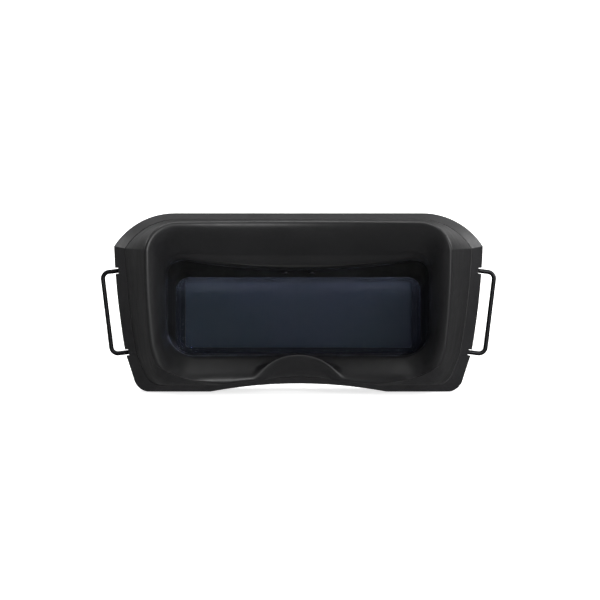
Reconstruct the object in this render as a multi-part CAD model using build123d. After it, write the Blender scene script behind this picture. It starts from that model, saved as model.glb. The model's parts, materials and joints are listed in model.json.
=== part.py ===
from build123d import *
import math
import os

# Box-type FPV goggles. X runs across the face, +Y away from the wearer, +Z up.
# The origin is at the middle of the underside, centred on the depth. Millimetres.

# Outer form
WIDTH = 189.4
HEIGHT = 91.6
ARCH_HEIGHT = 4.1
ARCH_HALF = 46.0
WALL = 2.4
SEAM_Y = -4.0
WIDEST_Y = 4.0
COVER_Y = 30.0
FRONT_Y = 38.0
FRONT_DRAFT = 4.0
FOOT_CUT = 0.2

# Face side: a concave cylinder about an upright axis
FACE_RADIUS = 140.0
FACE_CENTRE_Y = -19.0
FACE_AXIS_Y = FACE_CENTRE_Y - FACE_RADIUS
FLANGE_DEPTH = 9.0
FLANGE_THICKNESS = 3.0
RIM_Y = -41.0
# Nose clearance: (y, radius, height of its top)
NOSE_SECTIONS = [(-40.0, 20.0, 40.0), (-22.0, 18.0, 20.5), (-3.0, 16.0, 3.4)]
NOSE_FLANK = 7.0
NOSE_RISE = 3.2

# Eye opening and tunnel
OPENING_HALF = 65.5
OPENING_BOTTOM = 18.8
OPENING_TOP = 70.6
SHIELD_WALL = 1.6
BULKHEAD = 2.5
SHIELD_END_Y = 5.0
APERTURE_HALF = 63.0
APERTURE_BOTTOM = 19.7
APERTURE_TOP = 58.7

# Optics and display
LENS_WIDTH = 130.0
LENS_HEIGHT = 43.0
LENS_THICKNESS = 6.0
LENS_RADIUS = 640.0
OPTICAL_Z = 39.2
WINDOW_HALF = 58.5
WINDOW_BOTTOM = 22.4
WINDOW_TOP = 56.1
BRACKET_Y = 15.0
BRACKET_THICKNESS = 2.5
LCD_Y = 18.0
LCD_WIDTH = 128.0
LCD_HEIGHT = 62.0
LCD_THICKNESS = 1.6
LCD_Z = 41.0
PCB_Y = 25.0
PCB_THICKNESS = 1.6
PCB_WIDTH = 142.0
PCB_HEIGHT = 62.0
PCB_Z = 45.0

# Strap bails, drawn in a frame that leans with the side wall
BAIL_WIRE = 2.3
BAIL_INNER = 40.0
BAIL_GAP = 6.4
BAIL_Z = 41.0
BAIL_LEAN = 7.0
BAIL_WALL_X = 91.2
BAIL_Y = 8.0
BAIL_AXIS_DEPTH = 6.2
BAIL_BACK = BAIL_AXIS_DEPTH + 3.0
BAIL_PIN = 5.0
BAIL_SWING = 35.0

# Clearances
FIT = 0.05
GAP = 0.4
SCREW_FIT = 0.02


def at_y(y):
    """Plane across the goggles at depth y, drawn in X and Z."""
    return Plane.XZ.offset(-y)


def block(x, y, z, radius=0.0):
    """Box from (low, high) ranges, its corners rounded about Y when radius is given."""
    size = (x[1] - x[0], y[1] - y[0], z[1] - z[0])
    centre = ((x[0] + x[1]) / 2, (y[0] + y[1]) / 2, (z[0] + z[1]) / 2)
    body = Box(*size)
    if radius:
        body = fillet(body.edges().filter_by(Axis.Y), radius)
    return Pos(*centre) * body


def rod(radius, start, end):
    """Round bar from one point to another."""
    start, end = Vector(*start), Vector(*end)
    base = Plane(origin=start, z_dir=end - start)
    return extrude(base * Circle(radius), (end - start).length)


def ring(outer, inner, start, end):
    """Tube from one point to another."""
    return rod(outer, start, end) - rod(inner, start, end)


def slots(width, height, step, count, y, centre):
    """Stack of level round-ended slots through a wall that faces Y."""
    x = (centre[0] - width / 2, centre[0] + width / 2)
    tools = []
    for index in range(count):
        z = centre[1] + (index - (count - 1) / 2) * step
        tools.append(block(x, y, (z - height / 2, z + height / 2), height * 0.49))
    return tools


def outline(top, kink, side, low, heel, foot, arch):
    """Closed face drawn in X and Z, symmetrical about X = 0, from its right-hand points."""
    right = [
        TangentArc(top, kink, tangent=(1, 0)),
        ThreePointArc(kink, side, low),
        Line(low, heel),
        TangentArc(foot, heel, tangent=(1, 0)),
        Line(foot, (arch[0], foot[1])),
    ]
    left = [mirror(edge, about=Plane.YZ) for edge in right]
    across = Line((-top[0], top[1]), top)
    nose = ThreePointArc((-arch[0], foot[1]), (0, foot[1] + arch[1]), (arch[0], foot[1]))
    return make_face([across, nose] + right + left)


def housing_outline(side=0.0, top=0.0, bottom=0.0, arch=ARCH_HEIGHT):
    """Front view of the housing, drawn in by the given amounts."""
    return outline(
        (63.5 - 0.3 * side, HEIGHT - top),
        (WIDTH / 2 - side, 74.6 - 0.4 * top),
        (92.6 - side, 46.0),
        (88.7 - side, 19.5),
        (84.6 - side, 7.0 + 0.6 * bottom),
        (76.0 - side, bottom),
        (ARCH_HALF, arch),
    )


def rim_outline(inset=0.0):
    """Outline that the face frame tapers to at the temples."""
    return outline(
        (58.0, 84.8 - inset),
        (74.0 - inset, 71.2),
        (73.4 - inset, 50.0),
        (71.0 - inset, 25.0),
        (67.0 - inset, 11.5),
        (57.0, 5.4 + inset),
        (30.0, 1.0),
    )


def tapered(sections):
    """Ruled body through faces given as (face, y)."""
    return loft([at_y(y) * face for face, y in sections], ruled=True)


def window_face(half, bottom, top, upper_radius, lower_radius):
    """Rounded rectangle in X and Z with its own radius for the upper and lower corners."""
    face = Polygon((-half, bottom), (half, bottom), (half, top), (-half, top), align=None)
    corners = face.vertices().sort_by(Axis.Y)
    face = fillet(corners[:2], lower_radius)
    corners = face.vertices().sort_by(Axis.Y)
    return fillet(corners[-2:], upper_radius)


def face_cylinder(radius):
    """Upright cylinder that the face side is cut by."""
    return rod(radius, (0, FACE_AXIS_Y, -30), (0, FACE_AXIS_Y, 130))


def screw(head_radius, head_height, shank_radius, length, at, direction):
    """Cross-recess screw: head seated at the given point, shank along the direction."""
    seat = Plane(origin=Vector(*at), z_dir=Vector(*direction))
    head = extrude(seat * Circle(head_radius), -head_height)
    head = chamfer(head.edges().group_by(SortBy.LENGTH)[-1][0:1], head_height * 0.25)
    shank = extrude(seat * Circle(shank_radius), length)
    recess_depth = head_height * 0.6
    top = seat.offset(-head_height + recess_depth)
    slot = head_radius * 1.1
    cross = Rectangle(slot, slot * 0.28) + Rectangle(slot * 0.28, slot)
    return head + shank - extrude(top * cross, -recess_depth)


def side_plane(side):
    """Frame of a side wall: x outward, y forward, z up along the leaning wall."""
    lean = math.radians(BAIL_LEAN)
    return Plane(
        origin=(side * BAIL_WALL_X, BAIL_Y, BAIL_Z),
        x_dir=(side * math.cos(lean), 0, -math.sin(lean)),
        z_dir=(side * math.sin(lean), 0, math.cos(lean)),
    )


# --- Face frame -----------------------------------------------------------------

FRAME_SCREWS = [(-80.0, 56.0), (80.0, 56.0), (-78.5, 30.0), (78.5, 30.0), (-34.0, 79.0), (34.0, 79.0)]


def nose_cone(flank=0.0, rise=0.0):
    """Oblique cone over the nose, made wider by the flank and higher by the rise."""
    sections = []
    for y, radius, top in NOSE_SECTIONS:
        wide = radius + flank
        sections.append(at_y(y) * (Pos(0, top + rise - wide) * Circle(wide)))
    return loft(sections, ruled=True)


def face_frame():
    """Rear frame that sits against the face, with its funnel flange and nose scoop."""
    seam = housing_outline(side=6.5, top=3.5, bottom=3.6)
    outer = tapered([(seam, SEAM_Y), (rim_outline(), RIM_Y)])
    outer -= face_cylinder(FACE_RADIUS)
    inner_seam = housing_outline(side=9.2, top=6.2, bottom=6.3)
    inner = tapered([(inner_seam, SEAM_Y + 0.01), (rim_outline(2.6), RIM_Y)])
    skin_radius = FACE_RADIUS + FLANGE_DEPTH + FLANGE_THICKNESS
    hollow = inner - face_cylinder(skin_radius)
    shell = outer - hollow

    saddle = nose_cone(NOSE_FLANK, NOSE_RISE)
    shell += saddle & outer
    shell -= nose_cone()

    edge_radius = FACE_RADIUS + FLANGE_DEPTH
    profile = Polygon(
        (100.0, 82.0), (FACE_RADIUS - 0.5, 82.0), (edge_radius, OPENING_TOP),
        (edge_radius, OPENING_BOTTOM), (FACE_RADIUS - 0.5, 11.5), (100.0, 11.5), align=None)
    section = Plane(origin=(0, FACE_AXIS_Y, 0), x_dir=(0, 1, 0), z_dir=(1, 0, 0)) * profile
    funnel = revolve(section, Axis((0, FACE_AXIS_Y, 0), (0, 0, 1)), 360)
    near = window_face(71.5, 5.0, 90.0, 16.0, 18.0)
    deep = window_face(OPENING_HALF + 1.0, 5.0, 90.0, 16.0, 18.0)
    sides = loft([at_y(-44.0) * near, at_y(-21.0) * deep], ruled=True)
    sides += extrude(at_y(-21.0) * deep, -20.0)
    funnel = funnel & sides
    shell -= funnel - saddle

    opening = window_face(OPENING_HALF, OPENING_BOTTOM, OPENING_TOP, 9.0, 15.0)
    shell -= extrude(at_y(-50.0) * opening, -60.0) - saddle
    for x, z in FRAME_SCREWS:
        post = rod(3.0, (x, SEAM_Y, z), (x, SEAM_Y - 9.0, z)) & outer
        shell += post
        shell -= rod(1.0 + SCREW_FIT, (x, SEAM_Y + 1, z), (x, SEAM_Y - 7.0, z))
    return shell


# --- Main housing ---------------------------------------------------------------

COVER_POSTS = [(-79.0, 70.0), (79.0, 70.0), (-74.0, 19.0), (74.0, 19.0)]
BRACKET_POSTS = [(-70.5, 78.5), (70.5, 78.5), (-68.5, 9.0), (68.5, 9.0)]
SHIELD_POINTS = [(-71.0, 66.0), (71.0, 66.0), (-71.0, 24.0), (71.0, 24.0)]
BOARD_POSTS = [(-58.6, 12.9), (-31.0, 12.6), (-14.0, 13.0), (-14.0, 21.4)]
WHEEL_POSTS = [(42.0, 17.0), (58.0, 17.0)]
BUTTON_Y = 17.0
BUTTON_XS = {"power_button": -52.0, "record_button": -38.0, "bind_button": -24.0}
BUTTON_RADIUS = 4.0
WHEEL_X = 50.0
WHEEL_RADIUS = 7.5
WHEEL_WIDTH = 5.0
WHEEL_Z = 83.7
WHEEL_BASE_TOP = 75.6
BOARD_TOP = 79.6
LED_X = -8.0
PORT_Y = 20.0
PORTS = {
    "dc_jack": (-1, 34.0, 9.0, 11.0),
    "hdmi_port": (-1, 53.0, 5.6, 15.2),
    "usb_c_port": (1, 31.0, 3.4, 9.2),
    "microsd_slot": (1, 46.0, 2.2, 12.4),
    "audio_jack": (1, 60.0, 7.0, 7.0),
}
PORT_FACE_X = 88.2
PORT_DEPTH = 12.0


def main_housing():
    """Middle shell with a bulkhead at the seam, inner posts and all the openings."""
    seam = housing_outline(side=6.5, top=3.5, bottom=3.6)
    arch = ARCH_HEIGHT + FOOT_CUT
    widest = housing_outline(bottom=-FOOT_CUT, arch=arch)
    front = housing_outline(side=FRONT_DRAFT, top=FRONT_DRAFT, bottom=-FOOT_CUT, arch=arch)
    outer = tapered([(seam, SEAM_Y), (widest, WIDEST_Y), (front, COVER_Y)])
    outer -= block((-120, 120), (SEAM_Y - 1, COVER_Y + 1), (-5, 0))
    inner_seam = housing_outline(side=6.5 + WALL, top=3.5 + WALL, bottom=3.6 + WALL)
    inner_widest = housing_outline(side=WALL, top=WALL, bottom=WALL)
    inset = FRONT_DRAFT + WALL
    inner_front = housing_outline(side=inset, top=inset, bottom=WALL)
    inner = tapered([(inner_seam, SEAM_Y), (inner_widest, WIDEST_Y), (inner_front, COVER_Y)])
    rear_space = block((-120, 120), (SEAM_Y - 1, SEAM_Y + BULKHEAD), (-20, 120))
    shell = outer - (inner - rear_space)
    window = window_face(OPENING_HALF + SHIELD_WALL + GAP, OPENING_BOTTOM - SHIELD_WALL - GAP,
                         OPENING_TOP + SHIELD_WALL + GAP, 6.0, 8.0)
    shell -= extrude(at_y(SEAM_Y - 2) * window, -BULKHEAD - 4)
    floor_y = SEAM_Y + BULKHEAD

    for x, z in COVER_POSTS:
        shell += rod(3.2, (x, floor_y - 0.5, z), (x, COVER_Y, z)) & outer
        shell -= rod(1.2 + SCREW_FIT, (x, COVER_Y - 12, z), (x, COVER_Y + 1, z))
    for x, z in BRACKET_POSTS:
        shell += rod(3.0, (x, floor_y - 0.5, z), (x, BRACKET_Y, z)) & outer
        shell -= rod(1.0 + SCREW_FIT, (x, BRACKET_Y - 8, z), (x, BRACKET_Y + 1, z))
    for x, z in SHIELD_POINTS:
        shell -= rod(1.0 + SCREW_FIT, (x, SEAM_Y - 1, z), (x, floor_y + 1, z))
    for x, z in FRAME_SCREWS:
        shell -= rod(1.0 + SCREW_FIT, (x, SEAM_Y - 1, z), (x, floor_y + 1, z))

    for x in BUTTON_XS.values():
        shell -= rod(BUTTON_RADIUS + GAP, (x, BUTTON_Y, 80), (x, BUTTON_Y, 95))
    shell -= block((WHEEL_X - WHEEL_WIDTH / 2 - GAP, WHEEL_X + WHEEL_WIDTH / 2 + GAP),
                   (BUTTON_Y - 7.8, BUTTON_Y + 7.8), (80, 95))
    shell -= rod(1.5 + SCREW_FIT, (LED_X, BUTTON_Y, 80), (LED_X, BUTTON_Y, 95))
    for side, z, depth, height in PORTS.values():
        x = sorted((side * (PORT_FACE_X - 6.0), side * 96.0))
        shell -= block(x, (PORT_Y - depth / 2 - FIT, PORT_Y + depth / 2 + FIT),
                       (z - height / 2 - FIT, z + height / 2 + FIT))
    for side in (-1, 1):
        shell -= bail_slots(side)
        for z in (-BAIL_SCREW_Z, BAIL_SCREW_Z):
            boss_end = BAIL_BACK - BRACKET_PLATE
            shell += side_plane(side) * rod(2.0, (-boss_end, 0, z), (-1.2, 0, z)) & outer
            shell -= side_plane(side) * rod(0.8 + SCREW_FIT, (-boss_end - 1, 0, z), (-3.6, 0, z))
    for x, y in BOARD_POSTS:
        shell += rod(1.8, (x, y, BOARD_TOP), (x, y, HEIGHT)) & outer
        shell -= rod(0.8 + SCREW_FIT, (x, y, BOARD_TOP - 1), (x, y, BOARD_TOP + 4.5))
    for x, y in WHEEL_POSTS:
        shell += rod(1.6, (x, y, WHEEL_BASE_TOP), (x, y, HEIGHT)) & outer
        shell -= rod(0.8 + SCREW_FIT, (x, y, WHEEL_BASE_TOP - 1), (x, y, WHEEL_BASE_TOP + 4.5))
    for x in (-40.0, 40.0):
        for offset in range(5):
            start = x + (offset - 2) * 6.0
            shell -= block((start - 1.0, start + 1.0), (8, 24), (-2, 8), 0.95)
    return shell


# --- Strap bails ----------------------------------------------------------------

BAIL_HALF = (BAIL_INNER + BAIL_WIRE) / 2
BAIL_OUT = BAIL_GAP + BAIL_WIRE / 2
BAIL_CORNER = 3.4
BAIL_PIN_BEND = 1.7
BAIL_SCREW_Z = 9.0
BRACKET_PLATE = 1.8


def bail_slots(side):
    """Slots in the side wall that the legs of a bail swing in."""
    reach = BAIL_AXIS_DEPTH * math.tan(math.radians(BAIL_SWING)) + BAIL_WIRE / 2 + 0.9
    height = BAIL_WIRE + 2 * GAP
    tools = Part()
    for z in (-BAIL_HALF, BAIL_HALF):
        tools += Pos(0, 0, z) * Box(12.0, 2 * reach, height)
    return side_plane(side) * tools


def bail(side):
    """Wire loop that a 40 mm strap passes through, with out-turned pivot pins."""
    pin_end = BAIL_HALF + BAIL_PIN
    points = [
        (-BAIL_AXIS_DEPTH, -pin_end), (-BAIL_AXIS_DEPTH, -BAIL_HALF), (BAIL_OUT, -BAIL_HALF),
        (BAIL_OUT, BAIL_HALF), (-BAIL_AXIS_DEPTH, BAIL_HALF), (-BAIL_AXIS_DEPTH, pin_end),
    ]
    path = FilletPolyline(*points, radius=[BAIL_PIN_BEND, BAIL_CORNER, BAIL_CORNER, BAIL_PIN_BEND])
    start = Plane(origin=(*points[0], 0), z_dir=(0, 1, 0))
    wire = sweep(start * Circle(BAIL_WIRE / 2), path=path)
    upright = Plane(origin=(0, 0, 0), x_dir=(1, 0, 0), z_dir=(0, -1, 0))
    return side_plane(side) * (upright * wire)


def bail_retainer(side):
    """Inner bracket whose two ears carry the pins of a bail."""
    low = BAIL_HALF + 1.9
    high = BAIL_HALF + BAIL_PIN + 0.6
    middle = BRACKET_PLATE / 2 - BAIL_BACK
    ear_front = -BAIL_AXIS_DEPTH + 1.8
    ear_middle = (ear_front - BAIL_BACK) / 2
    body = Pos(middle, 0, 0) * Box(BRACKET_PLATE, 7.0, 2 * high)
    for sign in (-1, 1):
        ear = Pos(ear_middle, 0, sign * (low + high) / 2) * Box(ear_front + BAIL_BACK, 7.0, high - low)
        body += ear
        body -= Pos(-BAIL_AXIS_DEPTH, 0, sign * (low + high) / 2) * Cylinder(
            BAIL_WIRE / 2 + FIT, high - low + 2)
        screw_z = sign * BAIL_SCREW_Z
        body -= rod(0.8 + SCREW_FIT, (-BAIL_BACK - 1, 0, screw_z), (-BAIL_BACK + 3, 0, screw_z))
    return side_plane(side) * body


def bail_retainer_screws():
    """Four small screws that hold the retainers to the side walls."""
    group = Part()
    for side in (-1, 1):
        for z in (-BAIL_SCREW_Z, BAIL_SCREW_Z):
            piece = screw(1.6, 1.1, 0.8, 5.0, (-BAIL_BACK, 0, z), (1, 0, 0))
            group += side_plane(side) * piece
    return group


# --- Light shield and lens ------------------------------------------------------

CEILING_SCREW_Y = -1.0
SHIELD_FLANGE = 2.5


def tunnel(grow=0.0):
    """Tapered passage from the eye opening to the lens."""
    opening = (OPENING_HALF + grow, OPENING_BOTTOM - grow, OPENING_TOP + grow)
    aperture = (APERTURE_HALF + grow, APERTURE_BOTTOM - grow, APERTURE_TOP + grow)
    rear = window_face(*opening, 9.0 + grow, 15.0 + grow)
    front = window_face(*aperture, 7.0 + grow, 7.0 + grow)
    return loft([at_y(-24.0) * rear, at_y(SHIELD_END_Y) * front], ruled=True)


def ceiling_points():
    """Places of the two small screws in the tunnel ceiling, with the ceiling height there."""
    share = (CEILING_SCREW_Y + 24.0) / (SHIELD_END_Y + 24.0)
    height = OPENING_TOP + (APERTURE_TOP - OPENING_TOP) * share
    return [(-6.5, CEILING_SCREW_Y, height), (6.8, CEILING_SCREW_Y, height)]


def light_shield():
    """Dark tunnel between the face frame and the lens, with a screw flange."""
    body = tunnel(SHIELD_WALL)
    floor_y = SEAM_Y + BULKHEAD
    flange = block((-74.5, 74.5), (floor_y, floor_y + SHIELD_FLANGE), (14.0, 73.0), 4.0)
    body += flange
    radius = FACE_RADIUS + FLANGE_DEPTH + FLANGE_THICKNESS + 0.1
    body -= face_cylinder(radius)
    body -= tunnel()
    for x, z in SHIELD_POINTS:
        body -= rod(1.0 + SCREW_FIT, (x, floor_y - 1, z), (x, floor_y + 5, z))
    for x, z in RETAINER_POINTS:
        body -= rod(1.0 + SCREW_FIT, (x, floor_y - 1, z), (x, floor_y + 5, z))
    for x, z in COVER_POSTS:
        body -= rod(3.2 + GAP, (x, floor_y - 1, z), (x, floor_y + 5, z))
    for x, y, z in ceiling_points():
        body -= rod(0.8 + SCREW_FIT, (x, y, z - 4), (x, y, z + 5))
        body -= rod(1.7, (x, y, z - 4), (x, y, z + 0.3))
    return body


def ceiling_screws():
    """Two small screws driven up into the tunnel ceiling."""
    group = Part()
    for x, y, z in ceiling_points():
        group += screw(1.5, 0.9, 0.8, 2.6, (x, y, z + 0.3), (0, 0, 1))
    return group


RETAINER_POINTS = [(-70.5, 46.0), (70.5, 46.0), (-70.5, 34.0), (70.5, 34.0)]
LENS_REAR_Y = SHIELD_END_Y + 0.6


def lens():
    """Plano-convex magnifier, its flat side towards the eyes."""
    blank = block((-LENS_WIDTH / 2, LENS_WIDTH / 2), (LENS_REAR_Y, LENS_REAR_Y + LENS_THICKNESS),
                  (OPTICAL_Z - LENS_HEIGHT / 2, OPTICAL_Z + LENS_HEIGHT / 2), 8.0)
    centre_y = LENS_REAR_Y + LENS_THICKNESS - LENS_RADIUS
    ball = Pos(0, centre_y, OPTICAL_Z) * Sphere(LENS_RADIUS)
    return blank & ball


def lens_gasket():
    """Thin rubber ring between the end of the tunnel and the lens."""
    outer = window_face(APERTURE_HALF + SHIELD_WALL, APERTURE_BOTTOM - SHIELD_WALL,
                        APERTURE_TOP + SHIELD_WALL, 8.6, 8.6)
    inner = window_face(APERTURE_HALF, APERTURE_BOTTOM, APERTURE_TOP, 7.0, 7.0)
    return extrude(at_y(SHIELD_END_Y) * (outer - inner), -0.6)


def lens_retainer():
    """Box frame that presses the lens on its gasket and screws to the shield flange."""
    floor_y = SEAM_Y + BULKHEAD + SHIELD_FLANGE
    end_y = LENS_REAR_Y + LENS_THICKNESS + 1.6
    low = OPTICAL_Z - LENS_HEIGHT / 2
    high = OPTICAL_Z + LENS_HEIGHT / 2
    half = LENS_WIDTH / 2
    body = block((-half - 2.0, half + 2.0), (floor_y, end_y), (low - 2.0, high + 4.0), 9.0)
    body += block((-half - 8.5, half + 8.5), (floor_y, floor_y + 3.0), (29.5, 50.5), 3.0)
    body -= block((-half - GAP, half + GAP), (floor_y - 1, end_y - 1.6), (low - GAP, high + GAP), 8.2)
    body -= block((-half - GAP, half + GAP), (floor_y - 1, SHIELD_END_Y), (low - GAP, high + 2.5), 7.0)
    body -= block((-61, 61), (end_y - 4, end_y + 1), (OPTICAL_Z - 18.0, OPTICAL_Z + 18.0), 4.0)
    for x, z in RETAINER_POINTS:
        body -= rod(1.0 + SCREW_FIT, (x, floor_y - 1, z), (x, floor_y + 4, z))
    return body


# --- Display --------------------------------------------------------------------

STANDOFFS = [(-67.5, 70.0), (67.5, 70.0), (-67.5, 20.0), (67.5, 20.0)]


def display_bracket():
    """Plate with the viewing window that carries the display and the main board."""
    y = (BRACKET_Y, BRACKET_Y + BRACKET_THICKNESS)
    body = block((-71, 71), y, (12, 73), 5.0)
    for x, z in BRACKET_POSTS:
        body += block((x - 4.0, x + 4.0), y, (min(z - 4.0, 66), max(z + 4.0, 20)), 3.0)
    body -= block((-WINDOW_HALF, WINDOW_HALF), (BRACKET_Y - 1, BRACKET_Y + 4),
                  (WINDOW_BOTTOM, WINDOW_TOP), 1.2)
    for x, z in BRACKET_POSTS:
        body -= rod(1.0 + SCREW_FIT, (x, BRACKET_Y - 1, z), (x, BRACKET_Y + 4, z))
    for x, z in STANDOFFS:
        body -= rod(1.0 + SCREW_FIT, (x, BRACKET_Y - 1, z), (x, BRACKET_Y + 4, z))
    for x, z in COVER_POSTS:
        body -= rod(3.2 + GAP, (x, BRACKET_Y - 1, z), (x, BRACKET_Y + 4, z))
    return body


def display_gasket():
    """Foam ring that keeps light and dust out between bracket and display."""
    ring_face = Rectangle(2 * WINDOW_HALF + 7, WINDOW_TOP - WINDOW_BOTTOM + 7)
    ring_face -= Rectangle(2 * WINDOW_HALF + 1, WINDOW_TOP - WINDOW_BOTTOM + 1)
    centre = (WINDOW_TOP + WINDOW_BOTTOM) / 2
    return extrude(at_y(BRACKET_Y + BRACKET_THICKNESS) * (Pos(0, centre) * ring_face), -0.5)


def lcd_panel():
    """Glass display panel."""
    half, tall = LCD_WIDTH / 2, LCD_HEIGHT / 2
    return block((-half, half), (LCD_Y, LCD_Y + LCD_THICKNESS), (LCD_Z - tall, LCD_Z + tall), 1.0)


def backlight_tray():
    """Folded steel tray behind the display."""
    half, tall = LCD_WIDTH / 2 + 0.9, LCD_HEIGHT / 2 + 0.9
    rear = LCD_Y + LCD_THICKNESS + 2.6
    tray = block((-half, half), (LCD_Y, rear), (LCD_Z - tall, LCD_Z + tall), 1.5)
    inner_half, inner_tall = half - 0.6, tall - 0.6
    tray -= block((-inner_half, inner_half), (LCD_Y - 1, rear - 0.6),
                  (LCD_Z - inner_tall, LCD_Z + inner_tall), 1.2)
    tray -= block((-9.0, 9.0), (LCD_Y - 1, rear + 1), (LCD_Z - tall - 1, LCD_Z - tall + 3))
    return tray


def light_guide():
    """Acrylic light guide that fills the tray behind the display."""
    half, tall = LCD_WIDTH / 2, LCD_HEIGHT / 2
    front = LCD_Y + LCD_THICKNESS
    return block((-half, half), (front, front + 2.0), (LCD_Z - tall + 3.0, LCD_Z + tall), 1.3)


def display_ribbon():
    """Flat cable from the foot of the display round to the main board."""
    low = LCD_Z - LCD_HEIGHT / 2
    front = LCD_Y + 0.5
    points = [(front, low), (front, low - 1.7), (PCB_Y - 0.4, low - 1.7), (PCB_Y - 0.4, 20.0)]
    line = FilletPolyline(*points, radius=[0.9, 0.9])
    strip = Pos(0, 0) * trace(line, 0.25)
    section = Plane(origin=(-7.0, 0, 0), x_dir=(0, 1, 0), z_dir=(1, 0, 0)) * strip
    return extrude(section, 14.0)


# --- Electronics ----------------------------------------------------------------

PCB_FRONT = PCB_Y + PCB_THICKNESS


def main_pcb():
    """Main board on four standoffs."""
    low, high = PCB_Z - PCB_HEIGHT / 2, PCB_Z + PCB_HEIGHT / 2
    board = block((-PCB_WIDTH / 2, PCB_WIDTH / 2), (PCB_Y, PCB_FRONT), (low, high), 2.5)
    for x, z in COVER_POSTS:
        board -= rod(3.2 + 0.8, (x, PCB_Y - 1, z), (x, PCB_FRONT + 1, z))
    for x, z in STANDOFFS:
        board -= rod(1.0 + SCREW_FIT, (x, PCB_Y - 1, z), (x, PCB_FRONT + 1, z))
    return board


def pcb_standoffs():
    """Four brass hexagonal standoffs between bracket and main board."""
    group = Part()
    for x, z in STANDOFFS:
        rear = BRACKET_Y + BRACKET_THICKNESS
        post = extrude(at_y(rear) * (Pos(x, z) * RegularPolygon(2.2, 6)), -(PCB_Y - rear))
        group += post - rod(1.0 + SCREW_FIT, (x, rear - 1, z), (x, PCB_Y + 1, z))
    return group


def heatsink():
    """Finned aluminium block on the processor."""
    body = block((-17, 17), (PCB_FRONT + 1.0, PCB_FRONT + 2.0), (28, 62))
    for index in range(9):
        x = -16 + index * 4.0
        body += block((x - 0.6, x + 0.6), (PCB_FRONT + 1.9, PCB_FRONT + 3.0), (28, 62))
    return body


def processor():
    """Processor package under the heatsink."""
    return block((-10, 10), (PCB_FRONT, PCB_FRONT + 1.0), (35, 55), 0.6)


def receiver(x):
    """Shielded video receiver module."""
    body = block((x - 12, x + 12), (PCB_FRONT, PCB_FRONT + 3.2), (24, 56), 1.0)
    body -= block((x - 10, x + 10), (PCB_FRONT + 2.9, PCB_FRONT + 4), (26, 54), 0.8)
    return body


def board_chips():
    """Memory, power and connector parts on the main board."""
    places = [(-52, 64, 8, 6, 1.2), (-38, 66, 10, 5, 1.0), (-24, 66, 6, 6, 1.4), (24, 66, 6, 6, 1.4),
              (38, 66, 12, 4, 2.4), (56, 26, 6, 9, 1.0), (-55, 19, 9, 6, 2.0), (-26, 19, 7, 6, 1.2),
              (26, 19, 7, 5, 1.2), (0, 20, 14, 4, 2.2)]
    group = Part()
    for x, z, wide, tall, thick in places:
        group += block((x - wide / 2, x + wide / 2), (PCB_FRONT, PCB_FRONT + thick),
                       (z - tall / 2, z + tall / 2), 0.4)
    return group


def buzzer():
    """Round sounder on the main board."""
    centre = (54.0, 66.0)
    body = rod(4.5, (centre[0], PCB_FRONT, centre[1]), (centre[0], PCB_FRONT + 4.0, centre[1]))
    return body - rod(0.8, (centre[0], PCB_FRONT + 2.0, centre[1]), (centre[0], PCB_FRONT + 5, centre[1]))


# --- Front cover, fan and aerials -----------------------------------------------

FAN_Z = 45.0
FAN_SIZE = 30.0
FAN_REAR_Y = 30.6
FAN_THICKNESS = 5.0
FAN_HOLE_STEP = 12.0
COVER_SKIN_Y = FRONT_Y - 2.2
SMA_PLACES = {"sma_jack_left": -62.0, "sma_jack_right": 62.0}
SMA_Z = 69.0
SMA_REACH = 8.0
SMA_RADIUS = 3.175
PANEL_THICKNESS = 1.5


def fan_corners():
    """Screw places round the fan."""
    return [(x, FAN_Z + z) for x in (-FAN_HOLE_STEP, FAN_HOLE_STEP) for z in (-FAN_HOLE_STEP, FAN_HOLE_STEP)]


def front_cover():
    """Front shell with vents, aerial wells and bosses for the fan."""
    back = housing_outline(side=FRONT_DRAFT, top=FRONT_DRAFT)
    brow = housing_outline(side=5.6, top=5.4, bottom=1.6)
    tip = housing_outline(side=10.5, top=10.0, bottom=8.0)
    outer = tapered([(back, COVER_Y), (brow, COVER_Y + 3.5), (tip, FRONT_Y)])
    skin = WALL
    inner_back = housing_outline(side=FRONT_DRAFT + skin, top=FRONT_DRAFT + skin, bottom=skin)
    inner_brow = housing_outline(side=5.6 + skin, top=5.4 + skin, bottom=1.6 + skin)
    inner_tip = housing_outline(side=10.5, top=10.0, bottom=8.0)
    inner = tapered([(inner_back, COVER_Y), (inner_brow, COVER_Y + 2.8), (inner_tip, COVER_SKIN_Y)])
    shell = outer - inner
    shell -= extrude(at_y(COVER_SKIN_Y - 1) * (Pos(0, FAN_Z) * Circle(13.2)), -6)
    for x, z in fan_corners():
        shell += rod(1.9, (x, FAN_REAR_Y + FAN_THICKNESS, z), (x, FRONT_Y, z))
        shell -= rod(0.9 + SCREW_FIT, (x, FAN_REAR_Y, z), (x, FRONT_Y - 0.7, z))
    for x, z in COVER_POSTS:
        shell += rod(3.6, (x, COVER_Y, z), (x, FRONT_Y, z)) & outer
        shell -= rod(1.2 + SCREW_FIT, (x, COVER_Y - 1, z), (x, FRONT_Y + 1, z))
        shell -= rod(2.6, (x, COVER_Y + 2.2, z), (x, FRONT_Y + 1, z))
    for x in SMA_PLACES.values():
        shell -= rod(SMA_RADIUS + FIT, (x, COVER_Y, SMA_Z), (x, FRONT_Y + 1, SMA_Z))
    for x in (-54.0, 54.0):
        for tool in slots(18.0, 2.0, 4.4, 4, (COVER_SKIN_Y - 2, FRONT_Y + 2), (x, 20.0)):
            shell -= tool
    return shell


def front_panel():
    """Trim plate over the middle of the front cover, with the air intake."""
    y = (FRONT_Y, FRONT_Y + PANEL_THICKNESS)
    body = block((-56, 56), y, (26, 64), 9.0)
    body = chamfer(body.faces().sort_by(Axis.Y)[-1].edges(), 0.7)
    body -= extrude(at_y(FRONT_Y - 1) * (Pos(0, FAN_Z) * Circle(13.2)), -6)
    return body


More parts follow.
